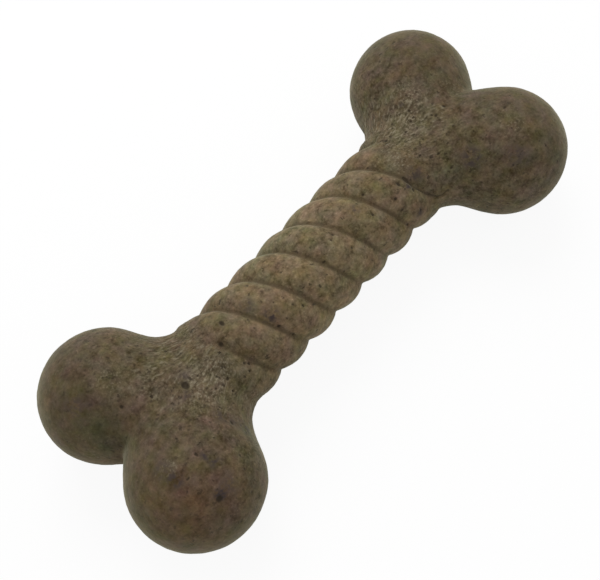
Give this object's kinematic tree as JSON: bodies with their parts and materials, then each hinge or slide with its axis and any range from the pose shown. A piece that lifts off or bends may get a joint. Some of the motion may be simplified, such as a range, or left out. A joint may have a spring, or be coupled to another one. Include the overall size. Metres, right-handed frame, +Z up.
{
  "type": "dog chew bone",
  "caption": "Bone-shaped dog chew moulded from bamboo fibre, with round-lobed knuckles at both ends and a rope-twist shaft between them to grip and gnaw.",
  "frame": {"origin": "on the surface that the chew lies on, under the middle of the shaft", "axes": "+X along the shaft, towards the right knuckle; +Z up; +Y across the lobes"},
  "size_m": [0.15, 0.0654, 0.0333],
  "materials": {
    "bamboo_fibre": "matt moulded bamboo-fibre composite, grey-brown, with pale fibres, dark specks and small pits"
  },
  "bodies": {
    "root": {"left_knuckle": "bamboo_fibre", "right_knuckle": "bamboo_fibre", "strand_1": "bamboo_fibre", "strand_2": "bamboo_fibre", "strand_3": "bamboo_fibre"}
  },
  "joints": []
}
